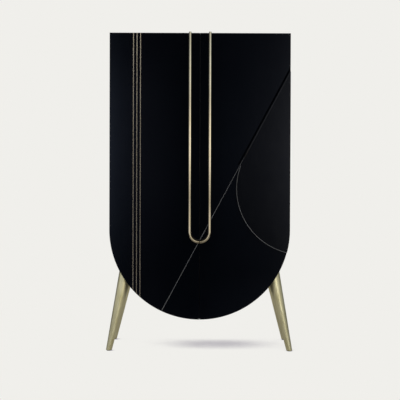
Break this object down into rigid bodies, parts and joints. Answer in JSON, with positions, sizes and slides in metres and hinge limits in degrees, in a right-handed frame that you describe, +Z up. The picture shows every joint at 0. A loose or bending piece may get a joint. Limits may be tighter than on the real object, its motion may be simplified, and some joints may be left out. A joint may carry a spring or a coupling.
{
  "type": "bar cabinet",
  "caption": "Tall two-door cabinet with square top corners and a full-width semicircular bottom, long J-shaped rod handles, flush metal inlays, a raised door panel and splayed tapered legs.",
  "frame": {"origin": "centre of the object's footprint box on the floor, handles included", "axes": "+Z up, +X to the right as seen from the front, the doors face -Y"},
  "size_m": [0.9362, 0.5012, 1.592],
  "materials": {
    "lacquer": "blue-black polished lacquer on board",
    "veneer": "dark walnut veneer, satin",
    "hardwood": "oiled beech",
    "satin_brass": "pale satin brass, brushed along its length",
    "brass": "polished and lacquered brass",
    "nickel": "dark nickel, brushed",
    "steel": "zinc-plated steel",
    "nylon": "black nylon"
  },
  "bodies": {
    "carcass": {"top_panel": "lacquer", "side_panel_left": "lacquer", "side_panel_right": "lacquer", "curved_base": "lacquer", "back_panel": "lacquer", "shelf_lower": "veneer", "shelf_middle": "veneer", "shelf_upper": "veneer", "lower_deck": "veneer", "leg_bearer_left": "hardwood", "leg_bearer_right": "hardwood", "leg_front_left": "satin_brass", "leg_front_right": "satin_brass", "leg_back_left": "satin_brass", "leg_back_right": "satin_brass", "leg_bolt_front_left": "steel", "leg_bolt_front_right": "steel", "leg_bolt_back_left": "steel", "leg_bolt_back_right": "steel", "foot_glide_front_left": "nylon", "foot_glide_front_right": "nylon", "foot_glide_back_left": "nylon", "foot_glide_back_right": "nylon", "hinge_frame_leaf_left_1": "brass", "hinge_frame_leaf_left_2": "brass", "hinge_frame_leaf_left_3": "brass", "hinge_frame_leaf_right_1": "brass", "hinge_frame_leaf_right_2": "brass", "hinge_frame_leaf_right_3": "brass", "hinge_pin_left_1": "steel", "hinge_pin_left_2": "steel", "hinge_pin_left_3": "steel", "hinge_pin_right_1": "steel", "hinge_pin_right_2": "steel", "hinge_pin_right_3": "steel", "magnetic_catch": "nylon"},
    "door_left": {"door_left": "lacquer", "brass_strip_1": "brass", "brass_strip_2": "brass", "brass_strip_3": "brass", "line_inlay_left": "nickel", "handle_left": "brass", "handle_screw_left_1": "steel", "handle_screw_left_2": "steel", "handle_screw_left_3": "steel", "hinge_door_leaf_left_1": "brass", "hinge_door_leaf_left_2": "brass", "hinge_door_leaf_left_3": "brass", "strike_plate_left": "steel"},
    "door_right": {"door_right": "lacquer", "raised_panel": "lacquer", "line_inlay_right": "nickel", "handle_right": "brass", "handle_screw_right_1": "steel", "handle_screw_right_2": "steel", "handle_screw_right_3": "steel", "hinge_door_leaf_right_1": "brass", "hinge_door_leaf_right_2": "brass", "hinge_door_leaf_right_3": "brass", "strike_plate_right": "steel"}
  },
  "joints": [
    {"name": "door_left_swing", "type": "hinge", "parent": "carcass", "child": "door_left", "pos_m": [-0.446, -0.17438, 1.056], "axis": [0, 0, -1], "range_deg": [0, 105]},
    {"name": "door_right_swing", "type": "hinge", "parent": "carcass", "child": "door_right", "pos_m": [0.446, -0.17438, 1.056], "axis": [0, 0, 1], "range_deg": [0, 105]}
  ]
}
